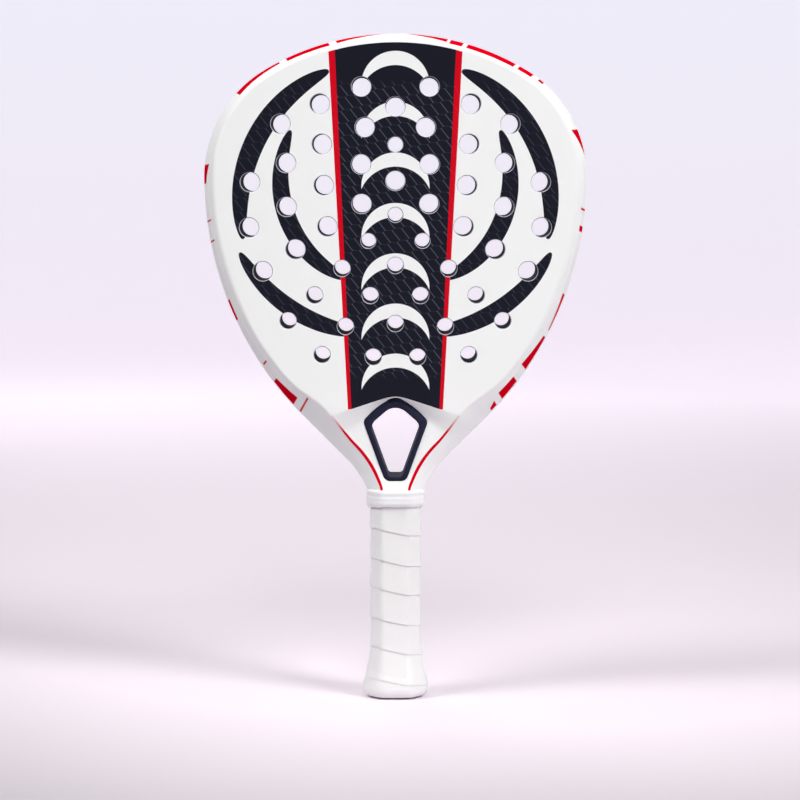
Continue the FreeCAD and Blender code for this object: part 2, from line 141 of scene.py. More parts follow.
class Finish:
    """A material under the brush, with its fixed settings put straight on the shader."""

    def __init__(self, name, settings):
        self.material = bpy.data.materials.new(name)
        self.material.use_nodes = True
        self.nodes = self.material.node_tree.nodes
        self.links = self.material.node_tree.links
        self.shader = self.nodes["Principled BSDF"]
        for socket, value in settings.items():
            self.shader.inputs[socket].default_value = value
        self.place = self.node("TexCoord", output="Object")

    def node(self, kind, settings=(), inputs=(), output=0):
        """Adds a node, sets it up, then gives its sockets their values or links."""
        made = self.nodes.new("ShaderNode" + kind)
        for name, value in dict(settings).items():
            if name == "stops":
                while len(made.color_ramp.elements) < len(value):
                    made.color_ramp.elements.new(0.5)
                for element, (position, colour) in zip(made.color_ramp.elements, value):
                    element.position, element.color = position, colour
            else:
                setattr(made, name, value)
        for name, value in dict(inputs).items():
            if isinstance(value, Value):
                self.links.new(value.socket, made.inputs[name])
            else:
                made.inputs[name].default_value = value
        return Value(self, made.outputs[output])

    def axes(self):
        """X, Y and Z of the place on the piece as three values."""
        split = self.node("SeparateXYZ", inputs={0: self.place}).socket.node
        return [Value(self, socket) for socket in split.outputs]

    def noise(self, scale, detail=2.0, roughness=0.5):
        return self.node("TexNoise", inputs={"Vector": self.place, "Scale": scale,
                                             "Detail": detail, "Roughness": roughness})

    def mix(self, share, first, second):
        """One colour laid over another where the share is 1."""
        return self.node("Mix", {"data_type": "RGBA"}, {0: share, 6: first, 7: second}, output=2)

    def own(self, name):
        """A number that the mesh carries on its vertices."""
        return self.node("Attribute", {"attribute_name": name}, output=2)

    def wrap(self, value):
        """A whole number taken off or put on, so that the value lies within a half of 0."""
        return self.node("Math", {"operation": "WRAP"}, {0: value, 1: 0.5, 2: -0.5})

    def bump(self, height, distance, strength=1.0):
        return self.node("Bump", inputs={"Height": height, "Distance": distance,
                                         "Strength": strength})

    def wear(self, **sockets):
        """Links worked-out values to the shader and gives back the material."""
        for name, value in sockets.items():
            self.links.new(value.socket, self.shader.inputs[name.replace("_", " ").title()])
        return self.material


def link(mesh_name, bm, *materials, sharp=32.0):
    """Makes the piece's object from its bmesh: merged, facing outwards and smooth shaded."""
    bmesh.ops.remove_doubles(bm, verts=bm.verts, dist=0.00001)
    bmesh.ops.recalc_face_normals(bm, faces=bm.faces)
    mesh = bpy.data.meshes.new(mesh_name)
    bm.to_mesh(mesh)
    bm.free()
    for material in materials:
        mesh.materials.append(material)
    mesh.shade_smooth()
    mesh.set_sharp_from_angle(angle=math.radians(sharp))
    piece = bpy.data.objects.new(mesh_name, mesh)
    bpy.context.scene.collection.objects.link(piece)
    return piece


def drawn(bm, points, closed=False):
    """A line of vertices through the points."""
    line = [bm.verts.new(point) for point in points]
    for a, b in zip(line, line[1:] + line[:1] if closed else line[1:]):
        bm.edges.new((a, b))
    return line


def pulled(bm, line, points, closed=False):
    """Extrudes a line of vertices into a strip whose new side lies on the points."""
    pairs = zip(line, line[1:] + line[:1] if closed else line[1:])
    made = bmesh.ops.extrude_edge_only(bm, edges=[bm.edges.get(pair) for pair in pairs])["geom"]
    new = {item for item in made if isinstance(item, bmesh.types.BMVert)}
    side = []
    for vertex, point in zip(line, points):
        twin = next(edge.other_vert(vertex) for edge in vertex.link_edges
                    if edge.other_vert(vertex) in new)
        twin.co = point
        side.append(twin)
    return side


SHADED_CARD_GREY = linear(96, 96, 100)
TINT_TOP = 1.2
card = Finish("studio_card", {"Roughness": 0.95, "Specular IOR Level": 0.1, "Emission Strength": 0.7})
across, back, height = card.axes()
fleck = card.noise(60.0, 3.0)
tint = card.node("ValToRGB", {"stops": [(0.0, linear(240, 230, 239)), (0.4, linear(238, 236, 244)),
                                        (1.0, linear(238, 239, 250))]}, {0: height / TINT_TOP})
glow = (back * 0.5 - 0.1).most(0.08).least(1.0)
# painted shade: the card is painted darker away from a pale pool round the racket, except behind it
aside, behind = across * 1.5 - 0.15, back - 0.8
far = (aside * aside + behind * behind) ** 0.5
shade = ((far - 0.9) * 1.3).most(0.0).least(0.76) * (1.6 - back).most(0.0).least(1.0)
tint = card.mix(fleck * 0.05, tint, linear(232, 226, 234))
card.wear(base_color=card.mix(shade, tint, SHADED_CARD_GREY),
          emission_color=card.mix(glow, (0.0, 0.0, 0.0, 1.0), tint))

bm = bmesh.new()
COVE, SWEEP, WALL_TOP = 2.9, 1.6, 2.6
turns = [math.radians(9 * n) for n in range(1, 11)]
profile = drawn(bm, [(0, 0, 0), (COVE / 2, 0, 0), (COVE, 0, 0)]
                + [(COVE + SWEEP * math.sin(a), 0, SWEEP - SWEEP * math.cos(a)) for a in turns]
                + [(COVE + SWEEP, 0, WALL_TOP)])
bmesh.ops.spin(bm, geom=profile + bm.edges[:], cent=(0, 0, 0), axis=(0, 0, 1),
               angle=2 * math.pi, steps=72, use_merge=True)
cove = link("studio_cove", bm, card.material)
if cove.data.polygons[0].normal.z < 0:
    cove.data.flip_normals()
cove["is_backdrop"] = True


AIM = Vector((0, 0, 0.28))


def lamp(name, place, size, power, spread=180, mirrored=True):
    """A round soft lamp aimed at the racket's middle; mirrored ones also show in glossy paint."""
    light = bpy.data.lights.new(name, "AREA")
    light.shape, light.size, light.energy = "DISK", size, power
    light.color = (1.0, 1.0, 0.975)
    light.spread = math.radians(spread)
    holder = bpy.data.objects.new(name, light)
    holder.location = place
    holder.rotation_euler = (AIM - Vector(place)).to_track_quat("-Z", "Y").to_euler()
    holder.visible_camera, holder.visible_glossy = False, mirrored
    bpy.context.scene.collection.objects.link(holder)


lamp("key_lamp", (1.45, -1.15, 1.7), 1.0, 4.5, spread=60)
lamp("left_lamp", (-1.2, -0.6, 1.9), 0.9, 2.85, spread=60, mirrored=False)
lamp("front_lamp", (0.1, -1.8, 1.8), 1.0, 2.25, spread=60, mirrored=False)
lamp("rear_lamp", (-0.6, 2.0, 1.5), 1.4, 9)
world = bpy.data.worlds.new("studio_air")
world.use_nodes = True
air = world.node_tree.nodes["Background"].inputs
air["Color"].default_value = linear(240, 240, 250)
air["Strength"].default_value = 0.08
bpy.context.scene.world = world
bpy.context.scene.view_settings.view_transform = "Standard"

# ------------------------------------------------------------------ frame moulding
# One hollow carbon moulding: the rim round the head, the two arms of the throat and the short
# bridge over its opening. It is laid up in a mould, filled with foam and lacquered satin white,
# with a red line along each arm's ridge and matt red dashes on the rim.

MM = 0.001
low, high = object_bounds()
HALF_WIDTH, TOP = high.x, high.z
WIDEST = TOP - 97 * MM
SHOULDER, FLANK, NECK = 84.4 * MM, 232.4 * MM, 84 * MM
NECK_HALF, NECK_LEAD = 19.3 * MM, 38 * MM
face_low, face_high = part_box("front_face")
FACE, UNDER_FACE = -face_low.y, -face_high.y
THROAT = 14 * MM
collar_low, collar_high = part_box("grip_collar")


def arc(centre_x, centre_z, radius, start, end, steps, hollow=False):
    """Stations along an arc of the outline: x, z and the direction into the moulding."""
    sign = 1.0 if hollow else -1.0
    turns = [math.radians(start + (end - start) * n / steps) for n in range(1, steps + 1)]
    return [(centre_x + radius * math.cos(turn), centre_z + radius * math.sin(turn),
             sign * math.cos(turn), sign * math.sin(turn)) for turn in turns]


# right half of the outline, from the top of the head round and down to the neck
rise, reach = TOP - WIDEST, HALF_WIDTH - SHOULDER
CROWN = (reach ** 2 + rise ** 2 - SHOULDER ** 2) / (2 * (rise - SHOULDER))
meeting = math.degrees(math.atan2(WIDEST - (TOP - CROWN), reach))
stations = [(0.0, TOP, 0.0, -1.0)]
stations += arc(0, TOP - CROWN, CROWN, 90, meeting, 26)
stations += arc(reach, WIDEST, SHOULDER, meeting, 0, 34)
stations += arc(HALF_WIDTH - FLANK, WIDEST, FLANK, 0, -45, 56)
flank_end = len(stations) - 1
end_x, end_z = stations[-1][:2]
SLANT = math.sqrt(0.5)
neck_x = NECK_HALF + math.sqrt(NECK ** 2 - NECK_LEAD ** 2)
neck_z = end_z - (end_x - neck_x) - NECK / SLANT
for n in range(1, 14):
    share = n / 13
    stations.append((end_x + (neck_x - NECK * SLANT - end_x) * share,
                     end_z + (neck_z + NECK * SLANT - end_z) * share, -SLANT, SLANT))
neck_turn = 180 - math.degrees(math.asin(NECK_LEAD / NECK))
stations += arc(neck_x, neck_z, NECK, 135, neck_turn, 11, hollow=True)
# the last four run on down under the collar
for facing, inwards, down in ((160, 0.3, 0.6), (168, 0.6, 1.6), (175, 1.0, 3.2), (180, 1.6, 6.0)):
    stations.append((NECK_HALF - inwards * MM, collar_high.z - down * MM,
                     math.cos(math.radians(facing)), math.sin(math.radians(facing))))
HEEL = flank_end + 1

runs = [0.0]
for a, b in zip(stations, stations[1:]):
    runs.append(runs[-1] + math.dist(a[:2], b[:2]))


def eased(table, x):
    """Smooth curve through the pairs of a table."""
    if x <= table[0][0]:
        return table[0][1]
    if x >= table[-1][0]:
        return table[-1][1]
    k = next(n for n in range(1, len(table)) if x <= table[n][0])

    def slope(n):
        if n in (0, len(table) - 1):
            return 0.0
        return (table[n + 1][1] - table[n - 1][1]) / (table[n + 1][0] - table[n - 1][0])
    (x0, y0), (x1, y1) = table[k - 1], table[k]
    span = x1 - x0
    t = (x - x0) / span
    return (y0 * (1 + 2 * t) * (1 - t) ** 2 + slope(k - 1) * span * t * (1 - t) ** 2
            + y1 * t * t * (3 - 2 * t) - slope(k) * span * t * t * (1 - t))


# in millimetres, by the run up from the flank's end: how far in from the outline the ridge lies,
# and half the height of the upright side wall
RIDGE_INSET = [(-72, 8.5), (-65, 8.9), (-57, 9.7), (-47, 10.6), (-38, 11.1), (-33, 11.2),
               (-23, 12.3), (-13.3, 14.0), (-3.5, 15.3), (7.3, 13.9), (19, 11.5), (32, 9.8),
               (44, 9.2), (66, 7.8), (98, 7.2), (126, 6.5), (182, 6.3), (235, 5.4), (330, 4.4)]
SIDE_WALL = [(-72, 8.6), (-62, 7.0), (-50, 4.8), (-35, 4.0), (-10, 4.0), (15, 6.8), (30, 8.0)]
# width of the step from the face down to the throat, by the distance from the middle line
STEP_RUN = [(0, 2.6), (10, 5), (20, 10), (30, 15), (40, 20)]
# how far the throat swells out again towards the collar, by the height over the collar's edge
FLARE_OUT = [(-5, 2.9), (0, 2.3), (4, 1.5), (8, 0.75), (12, 0.25), (16, 0.0)]
# the face's lower edge: a shallow upturned vee with a rounded point
VEE, VEE_SLOPE, VEE_ROUND = face_low.z + 11.0 * MM, 0.345, 5.5 * MM


def vee_line(x):
    """Height of the face's lower edge over the throat."""
    return VEE - VEE_SLOPE * math.hypot(x, VEE_ROUND)


def surface(x, z):
    """Height of the moulding's front over its mid plane, inside the ridge."""
    across = abs(x) / MM
    drop = (vee_line(x) - z) * 0.95
    t = min(max(drop / eased(STEP_RUN, across) / MM, 0.0), 1.0)
    t = 0.55 * (1 - (1 - t) ** 2) + 0.45 * t * t * (3 - 2 * t)
    return FACE + (THROAT - FACE) * t + eased(FLARE_OUT, (z - collar_high.z) / MM) * MM


def bend(a, b, c, t):
    """Point on the curve that rounds corner b off between a and c."""
    return tuple(p * (1 - t) ** 2 + 2 * q * t * (1 - t) + r * t * t for p, q, r in zip(a, b, c))


def section(index):
    """Section of rim or arm at a station: rows of inset and height over the mid plane."""
    x, z, nx, nz = stations[index]
    above = (runs[flank_end] - runs[index]) / MM
    inset, wall = eased(RIDGE_INSET, above) * MM, eased(SIDE_WALL, above) * MM
    headlike = eased([(-30, 0.0), (30, 1.0)], above)
    ridge = surface(x + nx * inset, z + nz * inset)
    length = math.hypot(inset, ridge - wall)
    along = (inset / length, (ridge - wall) / length)
    foot_round = (2.0 + 1.0 * headlike) * MM
    ridge_round = eased([(-30, 1.1), (40, 1.3), (110, 2.4), (190, 2.4), (290, 1.6)], above) * MM
    bulge = (0.15 + 0.55 * headlike) * MM

    def facet(distance, lift=0.0):
        return (along[0] * distance - along[1] * lift, wall + along[1] * distance + along[0] * lift)
    start, end = facet(foot_round), facet(length - ridge_round)
    flat = inset + ridge_round
    inner = surface(x + nx * flat, z + nz * flat)
    rows = [(0.0, 0.0), (0.0, wall * 0.4), (0.0, wall - foot_round)]
    rows += [bend((0.0, wall - foot_round), (0.0, wall), start, t) for t in (0.2, 0.4, 0.6, 0.8, 1.0)]
    for t in (0.2, 0.4, 0.6, 0.8):
        rows.append(facet(foot_round + t * (length - foot_round - ridge_round),
                          bulge * math.sin(math.pi * t) ** 2))
    rows += [end] + [bend(end, (inset, ridge), (flat, inner), t) for t in (0.2, 0.4, 0.6, 0.8, 1.0)]
    last = flat + 0.3 * MM
    rows.append((last, surface(x + nx * last, z + nz * last)))
    return rows


sections = [section(index) for index in range(len(stations))]


def rim_point(index, row):
    x, z, nx, nz = stations[index]
    inset, out = sections[index][row]
    return Vector((x + nx * inset, -out, z + nz * inset))


# the throat opening: a kite with rounded corners, given as apex, shoulder and foot, each with its
# x, its height over the opening's foot and its radius, at the moulding's edge and inside the ring
ring_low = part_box("front_throat_ring")[0]
OUTER_KITE = [(0.0, 60.2, 9.0), (22.4, 41.7, 4.5), (7.2, 0.0, 5.0)]
INNER_KITE = [(0.0, 53.7, 10.5), (17.5, 38.6, 7.5), (4.6, 3.0, 2.6)]


def kite(share, out=0.0):
    """Right half of the kite, from its apex round to its foot; share 1 is the ring's inside."""
    corners = []
    for outer, inner in zip(OUTER_KITE, INNER_KITE):
        x, z, radius = (a + (b - a) * share for a, b in zip(outer, inner))
        corners.append((Vector((x * MM, ring_low.z + z * MM)), radius * MM))
    (top, top_round), (shoulder, shoulder_round), (foot, foot_round) = corners
    path = [Vector((-shoulder.x, shoulder.y)), top, shoulder, foot, Vector((-foot.x, foot.y))]
    radii = (top_round, shoulder_round, foot_round)
    rounded = []
    for before, corner, after, radius, steps in zip(path, path[1:], path[2:], radii, (12, 10, 8)):
        back, on = (before - corner).normalized(), (after - corner).normalized()
        half = back.angle(on) / 2
        centre = corner + (back + on).normalized() * (radius / math.sin(half))
        spoke = corner + back * (radius / math.tan(half)) - centre
        swing = (corner + on * (radius / math.tan(half)) - centre).angle_signed(spoke)
        rounded.append([centre + Matrix.Rotation(swing * n / steps, 2) @ spoke for n in range(steps + 1)])
    points = rounded[0][6:]
    for bow, corner, steps in ((0.7 * (1 - share) * MM, rounded[1], 8), (0.0, rounded[2], 18)):
        first, last = points[-1], corner[0]
        away = Vector((first.y - last.y, last.x - first.x)).normalized()
        points += [first.lerp(last, n / steps) + away * (bow * math.sin(math.pi * n / steps))
                   for n in range(1, steps)] + corner
    return points + [points[-1].lerp(Vector((0, points[-1].y)), n / 3) for n in (1, 2, 3)]


heel = rim_point(HEEL, -1)
VEE_STEPS, NECK_STEPS, THROAT_ROWS = 19, 7, 18
VEE_LEAD, VEE_TURN = 20 * MM, 31 * MM


def vee_edge(share):
    """Lower edge of the face, from the middle line out to the heel on the ridge."""
    x = share * heel.x
    if x < VEE_TURN:
        return Vector((x, -FACE, vee_line(x)))
    return Vector((x, -FACE, eased([(VEE_LEAD, vee_line(VEE_LEAD)), (VEE_TURN, vee_line(VEE_TURN)),
                                    (heel.x, heel.z)], x)))


bm = bmesh.new()
run_of = bm.verts.layers.float.new("run")
ridge_of = bm.verts.layers.float.new("ridge")
inset_of = bm.verts.layers.float.new("inset")


def marked(line, far, near, row=-1):
    """Writes on each vertex its run along the outline and how far it is from ridge and outline."""
    for index, (vertex, run, distance) in enumerate(zip(line, far, near)):
        vertex[run_of], vertex[ridge_of] = run, distance
        vertex[inset_of] = sections[min(index, len(sections) - 1)][row][0]
    return line


def facet_distance(row):
    """How far a row of the rim lies outside its ridge, measured over the surface."""
    return [-sum(math.dist(s[k], s[k + 1]) for k in range(row, len(s) - 4)) for s in sections]


rim = drawn(bm, [rim_point(index, 0) for index in range(len(stations))])
marked(rim, runs, facet_distance(0), 0)
for row in range(1, len(sections[0])):
    rim = pulled(bm, rim, [rim_point(index, row) for index in range(len(stations))])
    marked(rim, runs, facet_distance(row), row)
vee = [vee_edge(n / VEE_STEPS) for n in range(VEE_STEPS + 1)]

# throat's front, from the face's lower edge, the ridge and the neck's end in to the opening
border = vee + [v.co.copy() for v in rim[HEEL + 1:]]
neck_end = border[-1]
border += [Vector((neck_end.x * (1 - n / NECK_STEPS), 0, neck_end.z))
           for n in range(1, NECK_STEPS + 1)]
far = [runs[HEEL]] * len(vee) + runs[HEEL + 1:] + [runs[-1]] * NECK_STEPS
opening = kite(-0.08)
spots = [Vector((p.x, 0, p.z)) for p in border]
line = drawn(bm, [Vector((p.x, -(surface(p.x, p.z) if k >= len(vee) else FACE), p.z))
                  for k, p in enumerate(spots)])
marked(line, far, [0.0] * len(far))
for row in range(1, THROAT_ROWS + 1):
    share = (row / THROAT_ROWS) ** 1.15
    inner = [b.lerp(Vector((o.x, 0, o.y)), share) for b, o in zip(spots, opening)]
    line = pulled(bm, line, [Vector((p.x, -surface(p.x, p.z), p.z)) for p in inner])
    marked(line, far, [math.dist(a, b) for a, b in zip(spots, inner)])
# the opening's edge turns over and runs straight back to the mid plane
for share, drop in ((-0.03, 0.12), (0.0, 0.5), (0.0, None)):
    line = pulled(bm, line, [Vector((p.x, 0.0 if drop is None else drop * MM - surface(p.x, p.y), p.y))
                             for p in kite(share)])
    marked(line, far, [0.02] * len(far))

# pocket under the face, in which the core sits
core_low, core_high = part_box("eva_core")
face_edge = [rim_point(index, -1) for index in range(HEEL)] + vee[::-1]
LEDGE = 15 * MM
pocket = []
for index in range(len(face_edge)):
    x, z, nx, nz = stations[min(index, HEEL)]
    inwards = 1 - max(index - HEEL, 0) / VEE_STEPS
    pocket.append(Vector(((x + nx * LEDGE) * inwards, 0, max(z + nz * LEDGE, core_low.z))))
far = runs[:HEEL] + [runs[HEEL]] * len(vee)
step = marked(drawn(bm, face_edge), far, [0.0] * len(far))
for points, out in ((face_edge, UNDER_FACE), (pocket, UNDER_FACE), (pocket, 0.0)):
    step = pulled(bm, step, [Vector((p.x, -out, p.z)) for p in points])
    marked(step, far, [0.1] * len(far))

bmesh.ops.remove_doubles(bm, verts=bm.verts, dist=0.00002)
for axis in ("X", "Y"):
    bmesh.ops.mirror(bm, geom=bm.verts[:] + bm.edges[:] + bm.faces[:], axis=axis, merge_dist=0.00002)
bmesh.ops.remove_doubles(bm, verts=bm.verts, dist=0.00002)
bmesh.ops.delete(bm, geom=[edge for edge in bm.edges if not edge.link_faces], context="EDGES")
bmesh.ops.holes_fill(bm, edges=[edge for edge in bm.edges if edge.is_boundary], sides=0)

WHITE = linear(246, 247, 247)
RED = linear(212, 0, 28)
NAVY = linear(23, 24, 37)
enamel = Finish("frame_enamel", {"Coat Roughness": 0.2, "Specular IOR Level": 0.0})
x, y = enamel.axes()[:2]
run, ridge, inset = (enamel.own(name) * 1000.0 for name in ("run", "ridge", "inset"))
right, left = x.above(0.0), x.below(0.0)
# the red line along the ridge, in millimetres: its ends by the run down from the top of the head,
# and half its breadth, to which it swells from a fine point
LINE_BEGIN, LINE_END, LINE_HALF = 374.0, 432.0, 0.57
line_edge = ((run - (LINE_BEGIN + 1.0)) * 0.02).most(0.03).least(LINE_HALF)
lines = (ridge - 0.1).within(-line_edge, line_edge, 0.3) * run.within(LINE_BEGIN, LINE_END, 0.6)


def dash(begin, end, outer, inner, taper=0.0):
    """Red dash on the rim between two runs from the top, so far inside the outline; a taper of 1
    brings its inner edge down to a point at the far end, and -1 at the near end."""
    share = (run - begin) * (1.0 / (end - begin))
    narrowing = (share if taper > 0 else 1.0 - share) * (abs(taper) * (inner - outer))
    return (run + inset * 0.35).within(begin, end, 0.7) * inset.within(outer, inner - narrowing, 0.35)


RIGHT_DASHES = [(2, 36, -1, 2.6, -0.8), (38, 47, -1, 3.2), (50, 85, -1, 3.2), (88, 99, -1, 3.0),
                (104, 108, -1, 2.0), (147, 166, -1, 4.2, 0.8), (202, 203.5, -1, 3.4),
                (214, 218, -1, 2.8), (262, 289, 0.6, 2.4, 0.6), (294, 320, 0.8, 6.0, -0.65),
                (330, 346, 1.0, 6.4, -0.2), (351.5, 357, 1.0, 4.2, 0.5)]
LEFT_DASHES = [(1, 41, -1, 2.4, -0.8), (46, 77, -1, 2.6), (82, 118, -1, 3.3, -0.4),
               (172, 185, -1, 3.4, 0.4), (210, 211.2, -1, 3.4), (224, 225.2, -1, 3.4),
               (266, 281, -1, 1.8), (316, 317.4, 1.8, 5.2), (330, 351, 0.8, 7.0, -0.5),
               (357, 358.4, 0.5, 12.0)]
SIDE_BAND = 6.2 * MM
dashes = 0.0
for side, table in ((right, RIGHT_DASHES), (left, LEFT_DASHES)):
    for entry in table:
        dashes = side * dash(*entry) + dashes
dashes = dashes * abs(y).above(SIDE_BAND)
red = (dashes + lines).least(1.0)
peel = enamel.noise(900.0, 2.0)
lacquer = enamel.mix(enamel.noise(25.0) * 0.15, WHITE, linear(238, 239, 241))
enamel.wear(base_color=enamel.mix(red, lacquer, RED), roughness=peel * 0.06 + 0.39,
            coat_weight=(1.0 - red) * 0.12, normal=enamel.bump(peel, 0.00002, 0.4))
moulding = link("frame_moulding", bm, enamel.material)
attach(moulding, "root")
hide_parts("frame_tube", "throat_bridge")

# ------------------------------------------------------------------ faces
# Two thin glass and carbon skins glued over the core, flush with the rim and painted with it.
# Each is drilled through with the core; the drill leaves a pale countersunk edge round a hole.

# each hole by its distance from the middle line and its height up the core, in hundredths of the
# half width and of the core's height, and by its bore in millimetres; all but the middle ones pair
HOLES = [
    (17.7, 90.5, 13), (0.0, 84.4, 13), (39.2, 85.2, 13), (15.9, 78.1, 13), (59.6, 79.1, 13),
    (38.2, 72.9, 13), (0.0, 72.8, 10), (56.8, 67.1, 13), (17.9, 66.7, 13), (75.5, 61.2, 13),
    (37.2, 60.2, 13), (0.0, 61.6, 13), (56.5, 53.6, 13), (17.6, 54.5, 13), (76.1, 47.2, 13),
    (0.0, 51.1, 10), (35.4, 47.5, 13), (52.0, 40.5, 13), (14.1, 43.1, 10), (69.1, 33.7, 13),
    (27.8, 34.6, 11), (0.0, 35.5, 11), (42.1, 26.3, 11), (13.1, 26.2, 11), (56.0, 18.4, 11),
    (26.1, 16.6, 11), (0.0, 17.5, 11), (38.3, 7.8, 11), (11.6, 7.1, 11),
]


# how the edge of a hole falls away: so much wider than the bore, so deep, in millimetres
COUNTERSINK = [(0.5, 0.05), (0.12, 0.4), (0.0, 0.6), (0.0, 1.2)]


def face_skin(side):
    """A drilled skin: its rim and its holes are drawn, then both its sides are filled between them."""
    bm = bmesh.new()
    half = [Vector((p.x, side * FACE, p.z)) for p in face_edge]
    whole = half + [Vector((-p.x, p.y, p.z)) for p in half[-2:0:-1]]
    edge = drawn(bm, whole, closed=True)
    above = list(edge)
    below = pulled(bm, edge, [Vector((p.x, side * UNDER_FACE, p.z)) for p in whole], closed=True)
    for across, up, bore in HOLES:
        for hand in ((1,) if across == 0 else (-1, 1)):
            centre = Vector((hand * across / 100 * HALF_WIDTH, 0,
                             core_low.z + up / 100 * (core_high.z - core_low.z)))

            def circle(wider, deeper):
                spoke = Vector((bore / 2 * MM + wider * MM, side * (FACE - deeper * MM), 0))
                return [centre + Matrix.Rotation(math.radians(10 * n), 3, "Y") @ spoke for n in range(36)]
            line = drawn(bm, circle(0.6, 0.0), closed=True)
            above += line
            for wider, deeper in COUNTERSINK:
                line = pulled(bm, line, circle(wider, deeper), closed=True)
            below += line
    for loop in (set(above), set(below)):
        edges = [e for e in bm.edges if e.verts[0] in loop and e.verts[1] in loop]
        bmesh.ops.triangle_fill(bm, edges=edges, use_beauty=True, normal=(0, side, 0))
    return bm


paint = Finish("face_paint", {"Coat Weight": 0.1, "Coat Roughness": 0.2, "Specular IOR Level": 0.2})
x, y, z = paint.axes()
across = abs(x)

# the navy band between red stripes, both a little wider at the top than at the throat
up = z - face_low.z
band_edge = up * 0.0446 + 29.9 * MM
stripe_edge = band_edge + up * 0.0083 + 2.4 * MM
band = across.below(band_edge)
stripes = across.below(stripe_edge)

# a stack of pale crescents down the band
CRESCENTS, CRESCENT_PITCH, CRESCENT_LOW = 7, 34.0 * MM, 212 * MM
stack = z.within(CRESCENT_LOW + 1 * MM, CRESCENT_LOW + CRESCENTS * CRESCENT_PITCH)
local = paint.node("Math", {"operation": "MODULO"}, {0: z - CRESCENT_LOW, 1: CRESCENT_PITCH})


def disc(centre, radius):
    """1 inside a circle of the crescents' own frame."""
    lift = local - centre
    return ((across * across + lift * lift) ** 0.5).below(radius)


crescents = disc(4.0 * MM, 23.0 * MM) * (1.0 - disc(-7.5 * MM, 25.0 * MM)) * stack

# three pairs of curved navy blades round the middle of the head, each given by the angles from
# upright at which it begins and ends, its distances there from the centre, and its breadth
CENTRE = WIDEST - 12 * MM
BLADES = [(28, 106, 95, 107, 14.0), (58, 150, 83, 65, 12.5), (110, 168, 112, 95, 12.0)]
turn = paint.node("Math", {"operation": "ARCTAN2"}, {0: across, 1: z - CENTRE})
spread = (across * across + (z - CENTRE) * (z - CENTRE)) ** 0.5
blades = 0.0
for begin, end, near, away, broad in BLADES:
    share = (turn - math.radians(begin)) * (1.0 / math.radians(end - begin))
    arch = share * (1.0 - share) * 4.0
    half = (arch.most(0.0) ** 0.45) * (broad / 2 * MM)
    middle = share * ((away - near) * MM) + near * MM
    blades = blades + abs(spread - middle).below(half) * share.within(0.0, 1.0, 0.01)
navy = (band * (1.0 - crescents) + blades * (1.0 - stripes)).least(1.0)

# honeycomb of fine raised ribs in the laminate, stretched and leaning: each cell has three pairs
# of walls, given as their run across and up in millimetres
LONG, FLAT, SHORT = (4.9, -6.3), (4.9, -0.3), (-1.45, -1.7)
ACROSS = (FLAT[0] - SHORT[0], FLAT[1] - SHORT[1])
DOWN = (LONG[0] + SHORT[0], LONG[1] + SHORT[1])
AREA = ACROSS[0] * DOWN[1] - ACROSS[1] * DOWN[0]
ribs_and_highlight = 0.0
# which way a wall runs from the cell's corner, and how strongly it stands out, in its relief and in its
# painted highlight: the long walls, which face the key lamp, most
for (run_x, run_z), way, strength in ((LONG, -0.5, 1.0), (FLAT, 0.5, 0.22), (SHORT, 0.5, 0.18)):
    dx, dz = x * 1000.0 - way * run_x, z * 1000.0 - way * run_z
    s = paint.wrap((dx * DOWN[1] - dz * DOWN[0]) * (1 / AREA))
    t = paint.wrap((dz * ACROSS[0] - dx * ACROSS[1]) * (1 / AREA))
    dx, dz = s * ACROSS[0] + t * DOWN[0], s * ACROSS[1] + t * DOWN[1]
    size = math.hypot(run_x, run_z)
    past = (abs(dx * (run_x / size) + dz * (run_z / size)) - size / 2).most(0.0)
    aside = dz * (run_x / size) - dx * (run_z / size)
    ribs_and_highlight = ((past * past + aside * aside) ** 0.5).below(0.25, 0.4) * strength + ribs_and_highlight
# it shows in the navy, most in the band, and fades out at the top and at the throat
shown = (navy * (band * 0.4 + 0.5) + stripes * 0.1) * z.within(224 * MM, 421 * MM, 6 * MM)
ribs_and_highlight = ribs_and_highlight.least(1.0) * shown
art = paint.mix(stripes, WHITE, RED)
art = paint.mix(band, art, paint.mix(crescents, NAVY, WHITE))
art = paint.mix(blades.least(1.0) * (1.0 - stripes), art, NAVY)
# the ribs are painted lighter on the navy: a painted highlight on their lit walls
art = paint.mix(ribs_and_highlight * 0.3, art, linear(130, 136, 155))
# the drill leaves the skin's bare edge
depth = FACE - abs(y)
bare = depth.above(0.12 * MM, 0.1 * MM)
art = paint.mix(bare, art, linear(178, 181, 194))
peel = paint.noise(900.0, 2.0)
paint.wear(base_color=art, roughness=peel * 0.05 + navy * 0.06 + 0.38,
           normal=paint.bump(ribs_and_highlight * 0.25 + peel * 0.02, 0.001, 0.5))

for name, side, node in (("front_skin", -1.0, "front_face"), ("rear_skin", 1.0, "rear_face")):
    skin = link(name, face_skin(side), paint.material, sharp=12.0)
    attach(skin, "root")
    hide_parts(node)

# ------------------------------------------------------------------ core
# A slab of dark closed-cell EVA foam, drilled with the faces; only the walls of its holes show.

foam = Finish("dark_eva", {"Roughness": 0.85})
cells = foam.node("TexVoronoi", {"feature": "F1"}, {"Vector": foam.place, "Scale": 1400.0})
foam.wear(base_color=foam.mix(cells, linear(29, 28, 38), linear(48, 46, 60)),
          normal=foam.bump(cells, 0.0002, 0.6))
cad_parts["eva_core"].data.materials.clear()
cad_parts["eva_core"].data.materials.append(foam.material)

# ------------------------------------------------------------------ throat ring
# A soft navy rubber liner in two halves, front and rear, pressed into the throat opening.

rubber = Finish("ring_rubber", {"Specular IOR Level": 0.03})
grain = rubber.noise(700.0, 2.0)
rubber.wear(base_color=rubber.mix(grain, linear(33, 35, 53), linear(45, 47, 67)),
            roughness=grain * 0.15 + 0.47, normal=rubber.bump(grain, 0.00003, 0.5))
PROUD = -ring_low.y
QUARTERS = (0, 0.25, 0.5, 0.75, 1)


